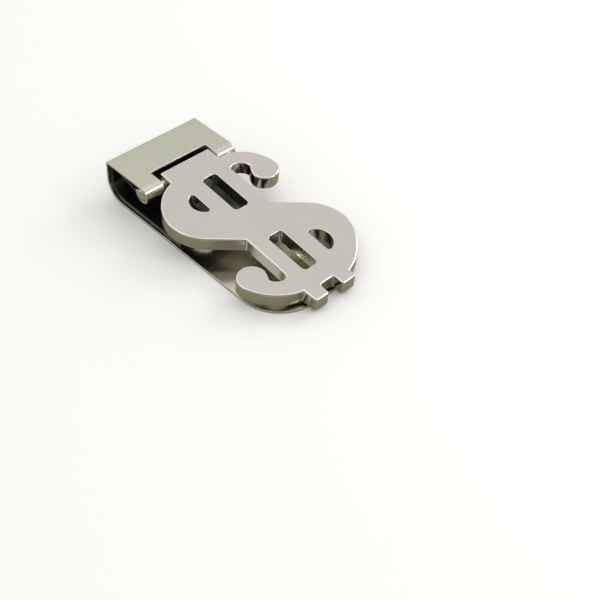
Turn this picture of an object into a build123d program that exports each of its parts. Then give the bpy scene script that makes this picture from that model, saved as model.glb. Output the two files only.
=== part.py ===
from build123d import *
import os
from math import asin, atan2, cos, degrees, hypot, radians, sin

# A hinged money clip, in millimetres. +Z is up, the hinge runs along X, the spine is at +Y
# and the nose of the lever points to -Y. The origin is the centre of the base's underside.

# Clip body: one bent strip of sheet
body_width = 22.2
body_height = 9.0
body_length = 50.5
sheet = 0.5
corner_bend = 0.6
heel_bend = 4.3
spine_lean = 0.85
base_corner = 9.0

# Hinge
hinge_setback = 11.5
stud_radius = 1.35
stud_dome = 0.5
journal_radius = 0.8
journal_reach = 3.3
journal_clearance = 0.03
curl_wrap = 290.0
tail_play = 1.55
tail_side_gap = 0.16
tail_swing_gap = 0.39

# Lever: a thick plate in the shape of a dollar sign, with a tail between the hinge ears
lever_thickness = 3.0
sign_reach = 19.93
tail_back = 1.62
tail_left = 6.85
tail_right = 5.2
tail_round = 0.45
ear_clearance = 0.1
nose_gap = 0.11
bar_outer = 5.1
bar_inner = 1.7
foot_outer = 4.95
foot_end = 21.5
foot_notch = 2.5
foot_round = 0.4
eye_inner = 5.35
eye_round = 0.6
notch_round = 0.6
slot_length = 10.35
upper_slot = 9.83
lower_slot = -9.58
slot_round = 0.8

# Leaf spring: a bent strip inside the body
leaf = 0.4
leaf_side_gap = 0.8
tongue_side_gap = 0.8
tongue_clearance = 1.2
leaf_gap = 0.02
tail_gap = 0.08
leaf_lower_length = 22.0
leaf_top_bend = 1.1
leaf_tip_bend = 3.0
leaf_lip = 1.3

# Worked out from the sizes above
back_y = body_length / 2
knuckle_radius = stud_radius + sheet
notch_width = tail_left + tail_right + tail_play
lever_shift = notch_width / 2 - tail_right - tail_side_gap
pin_y = back_y - hinge_setback
pin_z = body_height - knuckle_radius
half_lever = lever_thickness / 2
notch_back = hinge_setback - hypot(tail_back, half_lever) - tail_swing_gap
nose_reach = sign_reach + foot_end
nose_drop = pin_z - sheet - nose_gap
rest_slope = degrees(asin(nose_drop / hypot(nose_reach, half_lever)) - atan2(half_lever, nose_reach))


def along_lever(reach, above):
    """Y and Z of a point on the lever: its reach from the hinge, and its height above mid-plate."""
    slope = radians(rest_slope)
    return (
        pin_y - reach * cos(slope) - above * sin(slope),
        pin_z - reach * sin(slope) + above * cos(slope),
    )


# ---- Clip body: flange, spine, heel and base, with the flange curled into two hinge knuckles
curl_line = knuckle_radius - sheet / 2
flange_z = body_height - sheet / 2
spine_top_y = back_y - sheet / 2
spine_foot_y = spine_top_y + spine_lean
with BuildPart() as clip_body:
    with BuildSketch(Plane.YZ):
        with BuildLine():
            CenterArc((pin_y, pin_z), curl_line, 90, curl_wrap)
            FilletPolyline(
                (pin_y, flange_z),
                (spine_top_y, flange_z),
                (spine_foot_y, sheet / 2),
                (back_y - body_length, sheet / 2),
                radius=[corner_bend - sheet / 2, heel_bend - sheet / 2],
            )
        trace(line_width=sheet)
    extrude(amount=body_width / 2, both=True)
    base_front = clip_body.edges().filter_by(Axis.Z).group_by(Axis.Y)[0]
    fillet(base_front, base_corner)
    with BuildSketch(Plane.XY.offset(pin_z - knuckle_radius - sheet)):
        with Locations((0, back_y - notch_back)):
            Rectangle(notch_width, hinge_setback, align=(Align.CENTER, Align.MAX))
    extrude(amount=2 * knuckle_radius + 2 * sheet, mode=Mode.SUBTRACT)
clip_body.part.label = "clip_body"

# ---- Dollar lever: cut from plate, cross-drilled through the tail
lever_slope = radians(rest_slope)
lever_plane = Plane(
    origin=(lever_shift, *along_lever(sign_reach, 0)),
    x_dir=(1, 0, 0),
    z_dir=(0, -sin(lever_slope), cos(lever_slope)),
)
tail_end = sign_reach + tail_back
ear_line = sign_reach - knuckle_radius - ear_clearance
crown = foot_end - foot_notch
# Side, width, and the nearer and farther ends of each bowl's eye, from the middle of the sign
eyes = ((-1, 2.4, -7.4, -13.2), (1, 2.9, -7.7, -13.9))
with BuildPart() as dollar_lever:
    with BuildSketch(lever_plane) as sign:
        with BuildLine():
            # Upper left bowl and the diagonal's lower edge
            ThreePointArc((0, crown), (-3.6, crown - 0.2), (-6.9, crown - 0.95))
            ThreePointArc((-6.9, crown - 0.95), (-11.6, 15.0), (-14.1, 9.4))
            ThreePointArc((-14.1, 9.4), (-13.3, 5.3), (-11.2, 2.4))
            Polyline((-11.2, 2.4), (-bar_outer, -2.5), (-bar_outer, -12.9))
            # Lower left hook: the throat beside the bar, the ball, and the outer curve
            ThreePointArc((-bar_outer, -12.9), (-5.35, -13.7), (-6.1, -14.05))
            ThreePointArc((-6.1, -14.05), (-7.5, -13.5), (-8.2, -12.5))
            ThreePointArc((-8.2, -12.5), (-7.8, -11.5), (-7.4, -10.3))
            ThreePointArc((-7.4, -10.3), (-10.3, -7.3), (-13.4, -10.8))
            ThreePointArc((-13.4, -10.8), (-10.7, -15.4), (-bar_outer, -18.3))
            Polyline((-bar_outer, -18.3), (-bar_inner, -crown), (bar_inner, -crown), (bar_outer, -19.8))
            # Lower right bowl and the diagonal's upper edge
            ThreePointArc((bar_outer, -19.8), (10.6, -16.25), (14.1, -9.4))
            ThreePointArc((14.1, -9.4), (13.3, -5.3), (11.2, -2.4))
            Polyline((11.2, -2.4), (bar_outer, 2.5), (bar_outer, 13.9))
            # Upper right hook
            ThreePointArc((bar_outer, 13.9), (5.35, 14.4), (5.9, 14.6))
            ThreePointArc((5.9, 14.6), (7.9, 14.0), (8.6, 12.6))
            ThreePointArc((8.6, 12.6), (7.8, 11.3), (7.4, 10.0))
            ThreePointArc((7.4, 10.0), (10.3, 7.3), (13.36, 10.8))
            ThreePointArc((13.36, 10.8), (11.3, 15.5), (6.6, crown - 0.7))
            ThreePointArc((6.6, crown - 0.7), (3.4, crown - 0.15), (0, crown))
        make_face()
        with Locations((0, crown)):
            Rectangle(2 * body_width, 2 * (crown - ear_line), mode=Mode.SUBTRACT)
        with Locations((-tail_left, tail_end)):
            tail_depth = tail_back + knuckle_radius + sheet
            Rectangle(tail_left + tail_right, tail_depth, align=(Align.MIN, Align.MAX))
        for side in (-1, 1):
            with BuildLine():
                Polyline(
                    (side * bar_outer, 0),
                    (side * bar_outer, -crown),
                    (side * foot_outer, -foot_end),
                    (side * bar_inner, -foot_end),
                    (side * bar_inner, 0),
                    close=True,
                )
            make_face()
        fillet(sign.vertices().group_by(Axis.Y)[0], foot_round)
        with Locations((0, -crown)):
            Rectangle(2 * bar_inner, foot_notch, align=(Align.CENTER, Align.MAX), mode=Mode.SUBTRACT)
        for slot_centre in (upper_slot, lower_slot):
            with Locations((0, slot_centre)):
                RectangleRounded(2 * bar_inner, slot_length, slot_round, mode=Mode.SUBTRACT)
        for side, width, low, high in eyes:
            with BuildLine():
                inner = side * eye_inner
                Line((inner, side * low), (inner, side * high))
                ThreePointArc(
                    (inner, side * high),
                    (inner + side * width, side * (low + high) / 2),
                    (inner, side * low),
                )
            make_face(mode=Mode.SUBTRACT)
        eye_corners = [v for v in sign.vertices() if abs(abs(v.X) - eye_inner) < 0.01]
        fillet(eye_corners, eye_round)
        notch_line = [v for v in sign.vertices() if abs(v.Y + crown) < 0.01]
        notch_corners = [v for v in notch_line if abs(abs(v.X) - bar_inner) < 0.01]
        fillet(notch_corners, notch_round)
    extrude(amount=half_lever, both=True)
    with BuildSketch(Plane.YZ):
        with Locations((pin_y, pin_z)):
            Circle(journal_radius + journal_clearance)
    extrude(amount=body_width, both=True, mode=Mode.SUBTRACT)
    tail_edges = dollar_lever.edges().filter_by(Axis.X).sort_by(Axis.Y)[-2:]
    fillet(tail_edges, tail_round)
dollar_lever.part.label = "dollar_lever"

# ---- Hinge studs: a domed plug pressed into each knuckle, with a journal that enters the lever
studs = []
for side, name in ((-1, "hinge_stud_left"), (1, "hinge_stud_right")):
    ear_inside = side * notch_width / 2
    ear_outside = side * body_width / 2
    journal_end = ear_inside - side * journal_reach
    with BuildPart() as stud:
        with BuildSketch(Plane.XY.offset(pin_z)):
            with BuildLine():
                Polyline(
                    (ear_outside + side * stud_dome, pin_y),
                    (journal_end, pin_y),
                    (journal_end, pin_y + journal_radius),
                    (ear_inside, pin_y + journal_radius),
                    (ear_inside, pin_y + stud_radius),
                    (ear_outside, pin_y + stud_radius),
                )
                dome_radius = (stud_radius**2 + stud_dome**2) / (2 * stud_dome)
                RadiusArc(
                    (ear_outside, pin_y + stud_radius),
                    (ear_outside + side * stud_dome, pin_y),
                    side * dome_radius,
                )
            make_face()
        revolve(axis=Axis((0, pin_y, pin_z), (1, 0, 0)))
    stud.part.label = name
    studs.append(stud)

# ---- Leaf spring: lies on the base, climbs inside the spine and bears on the lever's tail
leaf_width = body_width - 2 * leaf_side_gap
tongue_width = notch_width - 2 * tongue_side_gap
tongue_start = pin_y + knuckle_radius + tongue_clearance
leaf_inset = sheet / 2 + leaf_gap + leaf / 2
spine_angle = atan2(spine_lean, body_height - sheet)
tail_corner_y, tail_corner_z = along_lever(-tail_back, -half_lever)
leaf_low_z = sheet / 2 + leaf_inset
leaf_back_y = spine_foot_y - leaf_inset / cos(spine_angle)
leaf_high_z = flange_z - leaf_inset
leaf_tip_y = tail_corner_y
leaf_tip_z = tail_corner_z - tail_gap - leaf / 2
with BuildPart() as leaf_spring:
    with BuildSketch(Plane.YZ):
        with BuildLine():
            FilletPolyline(
                (leaf_tip_y - leaf_lip, leaf_tip_z - leaf_lip * 0.2),
                (leaf_tip_y, leaf_tip_z),
                (leaf_back_y - spine_lean, leaf_high_z),
                (leaf_back_y, leaf_low_z),
                (leaf_back_y - leaf_lower_length, leaf_low_z),
                radius=[leaf_tip_bend, leaf_top_bend, heel_bend - sheet / 2 - leaf_inset],
            )
        trace(line_width=leaf)
    extrude(amount=leaf_width / 2, both=True)
    with BuildSketch(Plane.XY.offset(body_height / 2)):
        for side in (-1, 1):
            with Locations((side * tongue_width / 2, tongue_start)):
                shoulder = (Align.MIN if side > 0 else Align.MAX, Align.MAX)
                Rectangle(leaf_width, hinge_setback, align=shoulder)
    extrude(amount=body_height / 2, mode=Mode.SUBTRACT)
leaf_spring.part.label = "leaf_spring"

os.makedirs("parts", exist_ok=True)
for piece in (clip_body, dollar_lever, *studs, leaf_spring):
    export_step(piece.part, f"parts/{piece.part.label}.step")
    print(piece.part.label, len(piece.solids()), round(piece.part.volume, 1))
print("lever slope at rest", round(rest_slope, 2), "degrees")
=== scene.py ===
from math import cos, pi, radians, sin

import bmesh
import bpy
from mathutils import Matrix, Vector


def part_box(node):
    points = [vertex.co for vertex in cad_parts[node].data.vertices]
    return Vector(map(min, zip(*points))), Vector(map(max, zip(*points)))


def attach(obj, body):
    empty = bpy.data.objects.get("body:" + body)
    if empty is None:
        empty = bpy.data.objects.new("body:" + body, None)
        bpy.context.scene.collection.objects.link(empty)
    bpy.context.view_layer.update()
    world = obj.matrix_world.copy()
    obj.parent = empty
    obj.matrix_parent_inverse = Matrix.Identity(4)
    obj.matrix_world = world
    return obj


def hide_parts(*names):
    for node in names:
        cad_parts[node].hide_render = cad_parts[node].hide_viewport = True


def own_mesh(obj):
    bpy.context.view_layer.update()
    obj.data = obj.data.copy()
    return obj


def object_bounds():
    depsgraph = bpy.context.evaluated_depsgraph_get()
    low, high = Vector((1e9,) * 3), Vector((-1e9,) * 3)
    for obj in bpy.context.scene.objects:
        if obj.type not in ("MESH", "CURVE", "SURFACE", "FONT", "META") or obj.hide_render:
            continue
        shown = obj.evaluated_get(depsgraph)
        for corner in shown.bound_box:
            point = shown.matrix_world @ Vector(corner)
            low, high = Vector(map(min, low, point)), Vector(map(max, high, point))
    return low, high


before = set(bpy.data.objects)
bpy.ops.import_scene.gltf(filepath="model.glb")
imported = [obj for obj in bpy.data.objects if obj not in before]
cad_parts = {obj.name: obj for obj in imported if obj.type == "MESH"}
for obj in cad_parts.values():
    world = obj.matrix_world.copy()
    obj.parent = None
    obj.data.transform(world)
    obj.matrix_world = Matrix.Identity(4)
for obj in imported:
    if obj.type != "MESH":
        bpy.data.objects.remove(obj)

cad_low, cad_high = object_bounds()

# ---- Clip body --------------------------------------------------------------------------------
# One strip of half-millimetre stainless sheet, bent into base, heel, spine and flange. The
# flange's front is curled into two knuckles, one each side of the notch for the lever's tail.
# It is polished after bending, which rounds the cut edges and leaves them a little rougher.
# Their lighter cream colour is a painted highlight.
mm = 0.001
sheet = 0.5 * mm
sheet_edge = 0.13 * mm
weld = 0.001 * mm
flat_turn = radians(0.3)
bevel_steps = 4


def work_on(piece):
    """Makes one piece the only selected and active object."""
    bpy.ops.object.select_all(action="DESELECT")
    piece.select_set(True)
    bpy.context.view_layer.objects.active = piece


def welded_copy(node, name):
    """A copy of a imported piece, with its triangles welded and its flat faces made whole."""
    piece = bpy.data.objects.new(name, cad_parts[node].data.copy())
    bpy.context.scene.collection.objects.link(piece)
    piece.data.materials.clear()
    work_on(piece)
    bpy.ops.mesh.customdata_custom_splitnormals_clear()
    bpy.ops.object.mode_set(mode="EDIT")
    bpy.ops.mesh.select_all(action="SELECT")
    bpy.ops.mesh.remove_doubles(threshold=weld)
    bpy.ops.mesh.dissolve_limited(angle_limit=flat_turn)
    bpy.ops.object.mode_set(mode="OBJECT")
    return piece


def sharp_runs(mesh, turn):
    """The edges that turn by more than an angle, gathered into runs that touch end to end."""
    form = bmesh.new()
    form.from_mesh(mesh)
    sharp = {e for e in form.edges if len(e.link_faces) == 2 and e.calc_face_angle() > turn}
    runs = []
    while sharp:
        run, to_follow = [], [sharp.pop()]
        while to_follow:
            edge = to_follow.pop()
            run.append(edge.index)
            touching = {e for v in edge.verts for e in v.link_edges} & sharp
            sharp -= touching
            to_follow += touching
        runs.append(run)
    form.free()
    return runs


def run_length(mesh, run):
    """How far apart the ends of a run's box are, which tells an outline from a small hole."""
    points = [mesh.vertices[v].co for e in run for v in mesh.edges[e].vertices]
    low = Vector([min(p[axis] for p in points) for axis in range(3)])
    high = Vector([max(p[axis] for p in points) for axis in range(3)])
    return (high - low).length


def round_edges(piece, width, turn=50, longest=None):
    """Rounds the edges that turn by more than an angle, in every run or only in the short ones."""
    work_on(piece)
    picked = sharp_runs(piece.data, radians(turn))
    if longest is not None:
        picked = [run for run in picked if run_length(piece.data, run) < longest]
    bpy.ops.object.mode_set(mode="EDIT")
    bpy.ops.mesh.select_mode(type="EDGE")
    bpy.ops.mesh.select_all(action="DESELECT")
    bpy.ops.object.mode_set(mode="OBJECT")
    for run in picked:
        for edge in run:
            piece.data.edges[edge].select = True
    bpy.ops.object.mode_set(mode="EDIT")
    bpy.ops.mesh.bevel(
        offset=width, segments=bevel_steps, profile=0.5, clamp_overlap=False, loop_slide=False
    )
    bpy.ops.object.mode_set(mode="OBJECT")


def settle_shading(piece):
    """Smooth shading whose normals follow the large flat faces."""
    work_on(piece)
    bpy.ops.object.shade_smooth()
    settle = piece.modifiers.new("settle", "WEIGHTED_NORMAL")
    settle.mode = "FACE_AREA_WITH_ANGLE"
    settle.weight = 100
    bpy.ops.object.modifier_apply(modifier="settle")


def put_finish(piece, finish, faces=None):
    """Gives a finish to the whole piece, or to the faces that a test picks out."""
    piece.data.materials.append(finish)
    for face in piece.data.polygons:
        if faces is None or faces(face):
            face.material_index = len(piece.data.materials) - 1


def group_sockets(tree, ins, outs):
    """Opens a node group: named inputs with their starting values, then its outputs."""
    for name, kind, value in ins:
        tree.interface.new_socket(name, in_out="INPUT", socket_type=kind).default_value = value
    for name, kind in outs:
        tree.interface.new_socket(name, in_out="OUTPUT", socket_type=kind)
    return tree.nodes.new("NodeGroupInput").outputs, tree.nodes.new("NodeGroupOutput").inputs


def add_node(tree, kind, links=(), **settings):
    """Adds a node, sets its properties, and links or fills the inputs that are named."""
    node = tree.nodes.new(kind)
    for key, value in settings.items():
        setattr(node, key, value)
    for key, value in dict(links).items():
        if isinstance(value, bpy.types.NodeSocket):
            tree.links.new(value, node.inputs[key])
        else:
            node.inputs[key].default_value = value
    return node


def buffing_group():
    """Marks of the buffing wheel: long shallow hairlines along one axis, over broad soft waves."""
    tree = bpy.data.node_groups.new("buffing", "ShaderNodeTree")
    given, made = group_sockets(
        tree,
        [("Across", "NodeSocketVector", (1, 1, 1)), ("Hairlines", "NodeSocketFloat", 0.3),
         ("Waves", "NodeSocketFloat", 0.5)],
        [("Height", "NodeSocketFloat"), ("Haze", "NodeSocketFloat")],
    )
    place = add_node(tree, "ShaderNodeTexCoord").outputs["Object"]
    combed = add_node(
        tree, "ShaderNodeVectorMath", {0: place, 1: given["Across"]}, operation="MULTIPLY"
    )
    hair = add_node(
        tree, "ShaderNodeTexNoise",
        {"Vector": combed.outputs[0], "Scale": 1.0, "Detail": 3.0, "Roughness": 0.6},
    )
    wave = add_node(
        tree, "ShaderNodeTexNoise",
        {"Vector": place, "Scale": 260.0, "Detail": 1.0, "Roughness": 0.4},
    )
    fine = add_node(
        tree, "ShaderNodeMath", {0: hair.outputs["Fac"], 1: given["Hairlines"]},
        operation="MULTIPLY",
    )
    broad = add_node(
        tree, "ShaderNodeMath", {0: wave.outputs["Fac"], 1: given["Waves"]}, operation="MULTIPLY"
    )
    height = add_node(
        tree, "ShaderNodeMath", {0: fine.outputs[0], 1: broad.outputs[0]}, operation="ADD"
    )
    tree.links.new(height.outputs[0], made["Height"])
    tree.links.new(hair.outputs["Fac"], made["Haze"])
    return tree


def handling_group():
    """Handling: greasy finger patches a few millimetres wide, and a few stray pocket scratches."""
    patch_start, patch_full = 0.42, 0.68
    scratch_turn, scratch_stretch = radians(24), (0.22, 1.6, 1.0)
    scratch_level, scratch_width = 0.56, 0.0022
    tree = bpy.data.node_groups.new("handling", "ShaderNodeTree")
    given, made = group_sockets(
        tree,
        [("Patch Size", "NodeSocketFloat", 150.0), ("Scratch Size", "NodeSocketFloat", 120.0)],
        [("Patches", "NodeSocketFloat"), ("Scratches", "NodeSocketFloat")],
    )
    place = add_node(tree, "ShaderNodeTexCoord").outputs["Object"]
    cloud = add_node(
        tree, "ShaderNodeTexNoise",
        {"Vector": place, "Scale": given["Patch Size"], "Detail": 4.0, "Roughness": 0.55,
         "Distortion": 0.6},
    )
    patches = add_node(
        tree, "ShaderNodeMapRange",
        {"Value": cloud.outputs["Fac"], "From Min": patch_start, "From Max": patch_full},
        interpolation_type="SMOOTHSTEP",
    )
    stretched = add_node(
        tree, "ShaderNodeMapping",
        {"Vector": place, "Rotation": (0, 0, scratch_turn), "Scale": scratch_stretch},
    )
    lines = add_node(
        tree, "ShaderNodeTexNoise",
        {"Vector": stretched.outputs[0], "Scale": given["Scratch Size"], "Detail": 1.5,
         "Roughness": 0.5},
    )
    offset = add_node(
        tree, "ShaderNodeMath", {0: lines.outputs["Fac"], 1: scratch_level}, operation="SUBTRACT"
    )
    nearness = add_node(tree, "ShaderNodeMath", {0: offset.outputs[0]}, operation="ABSOLUTE")
    scratch = add_node(
        tree, "ShaderNodeMapRange",
        {"Value": nearness.outputs[0], "From Min": 0.0, "From Max": scratch_width,
         "To Min": 1.0, "To Max": 0.0},
    )
    tree.links.new(patches.outputs[0], made["Patches"])
    tree.links.new(scratch.outputs[0], made["Scratches"])
    return tree


buffing, handling = buffing_group(), handling_group()
hairline_depth = 0.002 * mm
hairline_low, hairline_high = 0.3, 0.7
hairline_haze, patch_haze, scratch_haze = 0.15, 0.06, 0.12


def metal(name, colour, dull, across, hairlines, waves, roughness):
    """A bare metal: two close colours, roughness that handling lifts, and buffing in its bump."""
    finish = bpy.data.materials.new(name)
    finish.use_nodes = True
    tree = finish.node_tree
    shader = tree.nodes["Principled BSDF"]
    shader.inputs["Metallic"].default_value = 1.0
    buffed = add_node(
        tree, "ShaderNodeGroup", {"Across": across, "Hairlines": hairlines, "Waves": waves},
        node_tree=buffing,
    )
    handled = add_node(tree, "ShaderNodeGroup", node_tree=handling)
    tint = add_node(
        tree, "ShaderNodeMix",
        {"Factor": handled.outputs["Patches"], 6: colour, 7: dull},
        data_type="RGBA",
    )
    tree.links.new(tint.outputs[2], shader.inputs["Base Color"])
    haze = add_node(
        tree, "ShaderNodeMapRange",
        {"Value": buffed.outputs["Haze"], "From Min": hairline_low, "From Max": hairline_high,
         "To Min": roughness * (1 - hairline_haze), "To Max": roughness * (1 + hairline_haze)},
    )
    patched = add_node(
        tree, "ShaderNodeMath",
        {0: handled.outputs["Patches"], 1: patch_haze, 2: haze.outputs[0]},
        operation="MULTIPLY_ADD",
    )
    scored = add_node(
        tree, "ShaderNodeMath",
        {0: handled.outputs["Scratches"], 1: scratch_haze, 2: patched.outputs[0]},
        operation="MULTIPLY_ADD",
    )
    tree.links.new(scored.outputs[0], shader.inputs["Roughness"])
    bump = add_node(
        tree, "ShaderNodeBump",
        {"Strength": 1.0, "Distance": hairline_depth, "Height": buffed.outputs["Height"]},
    )
    tree.links.new(bump.outputs["Normal"], shader.inputs["Normal"])
    return finish


# Its yellow-green tint, set apart from the lever's, is partly the metal's colour and partly a
# painted reflection of its surroundings.
sheet_finish = metal(
    "polished_stainless", (0.70, 0.69, 0.59, 1), (0.675, 0.675, 0.58, 1), (900, 12000, 3000),
    hairlines=0.25, waves=0.6, roughness=0.17,
)
# Cut edges: rougher than the sheet, with a lighter cream colour that is a painted highlight.
cut_edge_highlight = metal(
    "burnished_cut_edge_painted_highlight", (0.86, 0.84, 0.76, 1), (0.80, 0.79, 0.72, 1), (6000, 6000, 700),
    hairlines=1.0, waves=0.0, roughness=0.33,
)

body_low, body_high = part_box("clip_body")
stud_low, stud_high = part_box("hinge_stud_right")
journal_reach = 3.3 * mm
notch_side = stud_low.x + journal_reach
front_reach = 9.2 * mm
leaning, level = 0.3, 0.75
clip_body = welded_copy("clip_body", "clip_body_sheet")
round_edges(clip_body, sheet_edge)
settle_shading(clip_body)


def on_cut_edge(face):
    """The strip's sheared sides, the notch's three walls and the base's front."""
    x, y, z = face.center
    at_side = abs(x) > body_high.x - sheet_edge or abs(abs(x) - notch_side) < sheet_edge
    notch_back = abs(x) < notch_side and face.normal.y < -leaning and z > body_high.z - sheet
    front = y < body_low.y + front_reach and z < sheet and abs(face.normal.z) < level
    return (at_side and abs(face.normal.x) > leaning) or notch_back or front


put_finish(clip_body, sheet_finish)
put_finish(clip_body, cut_edge_highlight, on_cut_edge)
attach(clip_body, "body")
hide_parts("clip_body")

# ---- Leaf spring ------------------------------------------------------------------------------
# A strip of blued spring steel lying on the base inside the heel. It climbs inside the spine and
# narrows to a tongue that bears up on the lever's tail, which snaps the lever open or shut.
leaf_edge = 0.08 * mm
leaf_finish = metal(
    "blued_spring_steel", (0.10, 0.105, 0.115, 1), (0.14, 0.125, 0.10, 1), (1200, 9000, 2500),
    hairlines=0.7, waves=0.3, roughness=0.3,
)
leaf_spring = welded_copy("leaf_spring", "leaf_spring_strip")
round_edges(leaf_spring, leaf_edge)
settle_shading(leaf_spring)
put_finish(leaf_spring, leaf_finish)
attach(leaf_spring, "body")
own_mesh(leaf_spring)
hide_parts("leaf_spring")

# ---- Hinge studs ------------------------------------------------------------------------------
# Two turned steel studs, pressed into the knuckles. Each has a plug with a domed end that shows
# at the clip's side, and a thinner journal that enters the lever's cross-drilled tail.
stud_finish = metal(
    "turned_steel", (0.74, 0.72, 0.68, 1), (0.68, 0.66, 0.62, 1), (2500, 2500, 2500),
    hairlines=0.4, waves=0.2, roughness=0.14,
)
stud_edge, stud_turn = 0.15 * mm, 30
stud_sides = 64
pin = (stud_low + stud_high) / 2
plug_radius = (stud_high.z - stud_low.z) / 2
journal_radius = 0.8 * mm
dome_rise = 0.5 * mm
dome_rings = 6
flat_tip = 0.5
ear_outside = stud_high.x - dome_rise
dome_radius = (plug_radius**2 + dome_rise**2) / (2 * dome_rise)


def step_out(from_radius, to_radius, along):
    """Extrudes the selected ring along the pin's axis and brings it to a new radius."""
    bpy.ops.mesh.extrude_region_move(TRANSFORM_OT_translate={"value": (along, 0, 0)})
    scale = to_radius / from_radius
    bpy.ops.transform.resize(value=(1, scale, scale), center_override=pin)


def turned_stud(name):
    """The right-hand stud, built up from the journal's end outwards."""
    bpy.ops.object.select_all(action="DESELECT")
    bpy.ops.mesh.primitive_circle_add(
        vertices=stud_sides, radius=journal_radius, fill_type="NGON",
        location=(stud_low.x, pin.y, pin.z), rotation=(0, pi / 2, 0),
    )
    stud = bpy.context.object
    stud.name = name
    bpy.ops.object.transform_apply(location=True, rotation=True, scale=True)
    bpy.ops.object.mode_set(mode="EDIT")
    bpy.ops.mesh.select_all(action="SELECT")
    step_out(journal_radius, journal_radius, journal_reach)
    step_out(journal_radius, plug_radius, 0)
    step_out(plug_radius, plug_radius, ear_outside - notch_side)
    radius, height = plug_radius, 0.0
    for ring in range(1, dome_rings + 1):
        next_radius = plug_radius * (1 - ring / (dome_rings + flat_tip))
        next_height = (dome_radius**2 - next_radius**2) ** 0.5 - (dome_radius - dome_rise)
        step_out(radius, next_radius, next_height - height)
        radius, height = next_radius, next_height
    bpy.ops.mesh.select_all(action="SELECT")
    bpy.ops.mesh.remove_doubles(threshold=weld)
    bpy.ops.mesh.normals_make_consistent(inside=False)
    bpy.ops.object.mode_set(mode="OBJECT")
    round_edges(stud, stud_edge, turn=stud_turn)
    settle_shading(stud)
    return stud


stud_right = turned_stud("hinge_stud_right_turned")
stud_left = bpy.data.objects.new("hinge_stud_left_turned", stud_right.data.copy())
bpy.context.scene.collection.objects.link(stud_left)
work_on(stud_left)
bpy.ops.object.mode_set(mode="EDIT")
bpy.ops.mesh.select_all(action="SELECT")
bpy.ops.transform.rotate(value=pi, orient_axis="Z", center_override=(0, pin.y, pin.z))
bpy.ops.object.mode_set(mode="OBJECT")
for stud, node in ((stud_left, "hinge_stud_left"), (stud_right, "hinge_stud_right")):
    put_finish(stud, stud_finish)
    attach(stud, "body")
    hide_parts(node)

# ---- Dollar lever -----------------------------------------------------------------------------
# A three-millimetre plate cut to a dollar sign, with a square tail cross-drilled for the studs.
# It is plated and polished to a soft shine, and its edges are rounded by the buffing wheel.
plate_edge = 0.30 * mm
hole_edge = 0.12 * mm
longest_hole = 15 * mm
plate_slope = radians(7.0)
plate_up = Vector((0, -sin(plate_slope), cos(plate_slope)))
edge_starts, edge_ends = 0.985, 0.05
# Its warm tint, set apart from the sheet's, is partly the metal's colour and partly a painted
# reflection of its surroundings.
plate_finish = metal(
    "polished_plate", (0.725, 0.68, 0.632, 1), (0.705, 0.66, 0.612, 1), (12000, 900, 3000),
    hairlines=0.15, waves=0.6, roughness=0.12,
)
# Rounded edges: a little smoother than the plate, with a lighter colour that is a painted
# highlight.
edge_highlight_finish = metal(
    "buffed_edge_painted_highlight", (0.93, 0.91, 0.87, 1), (0.88, 0.86, 0.82, 1), (9000, 9000, 3000),
    hairlines=0.1, waves=0.3, roughness=0.10,
)
lever = welded_copy("dollar_lever", "dollar_lever_plate")
round_edges(lever, hole_edge, longest=longest_hole)
round_edges(lever, plate_edge)
settle_shading(lever)
put_finish(lever, plate_finish)
put_finish(
    lever, edge_highlight_finish, lambda face: edge_ends < face.normal.dot(plate_up) < edge_starts
)
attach(lever, "lever")
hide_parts("dollar_lever")

# ---- Studio -----------------------------------------------------------------------------------
# A white table in a white light tent, with two soft boxes for the highlights. What the metal
# mirrors is a painted reflection, seen only by mirror rays: an olive-grey table, and tent walls
# that brighten from the horizon upwards, dim low down in front, with a grey panel high in front
# that draws a painted dark line in the edges.
table_side = 3.0
bpy.ops.object.select_all(action="DESELECT")
bpy.ops.mesh.primitive_plane_add(size=table_side, location=(0, 0, 0))
table = bpy.context.object
table.name = "table"
table_finish = bpy.data.materials.new("pale_table_painted_reflection")
table_finish.use_nodes = True
tree = table_finish.node_tree
table_shader = tree.nodes["Principled BSDF"]
table_shader.inputs["Roughness"].default_value = 0.7
# Painted reflection: the table is pale to the camera and to diffuse light, and olive-grey only in
# the metal's reflections.
mirrored = add_node(tree, "ShaderNodeLightPath").outputs["Is Glossy Ray"]
table_and_painted_reflection = add_node(
    tree, "ShaderNodeMix",
    {"Factor": mirrored, 6: (0.90, 0.895, 0.88, 1), 7: (0.30, 0.29, 0.19, 1)},
    data_type="RGBA",
)
tree.links.new(table_and_painted_reflection.outputs[2], table_shader.inputs["Base Color"])
put_finish(table, table_finish)

tent = bpy.data.worlds.new("light_tent")
bpy.context.scene.world = tent
tent.use_nodes = True
tree = tent.node_tree
direction = add_node(tree, "ShaderNodeTexCoord").outputs["Generated"]
rise = add_node(tree, "ShaderNodeSeparateXYZ", {"Vector": direction}).outputs["Z"]
walls = add_node(tree, "ShaderNodeValToRGB", {"Fac": rise})
ramp = walls.color_ramp
ramp.elements[0].position, ramp.elements[0].color = 0.45, (0.62, 0.63, 0.59, 1)
ramp.elements[1].position, ramp.elements[1].color = 1.0, (1.06, 1.05, 1.02, 1)
for height, shade in (
    (0.56, (0.685, 0.695, 0.635, 1)), (0.625, (0.77, 0.755, 0.745, 1)),
    (0.78, (0.785, 0.785, 0.785, 1)), (0.86, (0.82, 0.82, 0.82, 1)),
    (0.93, (1.02, 1.01, 0.98, 1)),
):
    ramp.elements.new(height).color = shade
open_side = (-0.675, -0.737, 0)
open_from, open_to = -0.35, 0.45
facing = add_node(
    tree, "ShaderNodeVectorMath", {0: direction, 1: open_side}, operation="DOT_PRODUCT"
).outputs["Value"]
opening = add_node(
    tree, "ShaderNodeMapRange", {"Value": facing, "From Min": open_from, "From Max": open_to},
    interpolation_type="SMOOTHSTEP",
)
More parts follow.
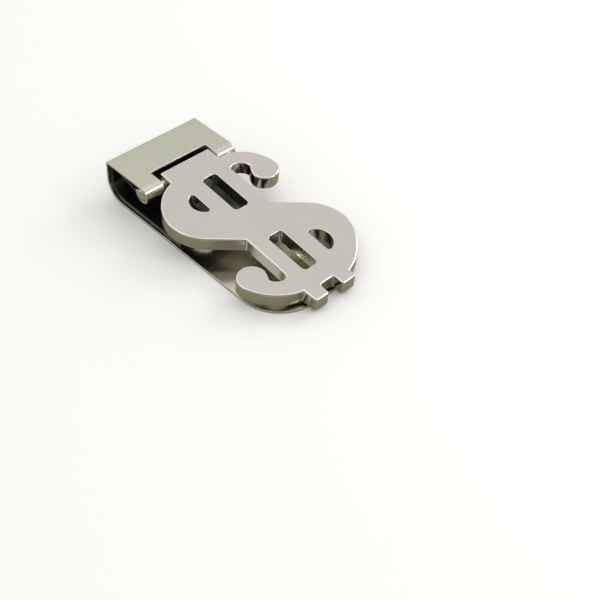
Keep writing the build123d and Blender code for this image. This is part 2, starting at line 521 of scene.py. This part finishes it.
skirt = add_node(
    tree, "ShaderNodeMix",
    {"Factor": opening.outputs[0], 6: (0.80, 0.80, 0.77, 1), 7: (0.13, 0.125, 0.11, 1)},
    data_type="RGBA",
)
skirt_top, walls_start = 0.16, 0.36
above = add_node(
    tree, "ShaderNodeMapRange", {"Value": rise, "From Min": skirt_top, "From Max": walls_start},
    interpolation_type="SMOOTHSTEP",
)
shades = add_node(
    tree, "ShaderNodeMix",
    {"Factor": above.outputs[0], 6: skirt.outputs[2], 7: walls.outputs["Color"]},
    data_type="RGBA",
)
grey_panel_side = (-0.482, -0.525, 0.701)
panel_rim, panel_middle = 0.78, 0.90
toward_panel = add_node(
    tree, "ShaderNodeVectorMath", {0: direction, 1: grey_panel_side}, operation="DOT_PRODUCT"
).outputs["Value"]
grey_panel = add_node(
    tree, "ShaderNodeMapRange",
    {"Value": toward_panel, "From Min": panel_rim, "From Max": panel_middle},
    interpolation_type="SMOOTHSTEP",
)
walls_painted_reflection = add_node(
    tree, "ShaderNodeMix",
    {"Factor": grey_panel.outputs[0], 6: shades.outputs[2], 7: (0.27, 0.265, 0.25, 1)},
    data_type="RGBA",
)
# Painted reflection: camera and diffuse rays see an even white tent, and mirror rays see the
# graded walls, skirt and grey panel.
mirrored = add_node(tree, "ShaderNodeLightPath").outputs["Is Glossy Ray"]
backdrop = add_node(
    tree, "ShaderNodeMix", {"Factor": mirrored, 6: (0.98, 0.98, 0.97, 1), 7: walls_painted_reflection.outputs[2]},
    data_type="RGBA",
)
tree.links.new(backdrop.outputs[2], tree.nodes["Background"].inputs["Color"])


def set_round(name, data, aim, azimuth, elevation, distance):
    """Stands a lamp or camera off from a point, by its turn from the front and its rise."""
    turn, lift = radians(azimuth), radians(elevation)
    outward = Vector((sin(turn) * cos(lift), -cos(turn) * cos(lift), sin(lift)))
    holder = bpy.data.objects.new(name, data)
    bpy.context.scene.collection.objects.link(holder)
    holder.location = aim + outward * distance
    holder.rotation_euler = (-outward).to_track_quat("-Z", "Y").to_euler()
    return holder


centre = (cad_low + cad_high) / 2
for name, azimuth, elevation, distance, side, power in (
    ("right_soft_box", 83, 30, 0.45, 0.20, 0.4),
    ("front_soft_box", 35, 35, 0.42, 0.06, 0.13),
):
    lamp = bpy.data.lights.new(name, "AREA")
    lamp.size, lamp.energy = side, power
    set_round(name, lamp, centre, azimuth, elevation, distance)

aim = Vector((-9.25 * mm, cad_low.y - 1.88 * mm, body_high.z))
lens = bpy.data.cameras.new("camera")
lens.lens, lens.sensor_width = 64.2, 36.0
lens.clip_start, lens.clip_end = 0.01, 10.0
camera_azimuth, camera_elevation, camera_distance = -42.54, 44.53, 183 * mm
bpy.context.scene.camera = set_round(
    "camera", lens, aim, camera_azimuth, camera_elevation, camera_distance
)
bpy.context.scene.view_settings.view_transform = "Standard"
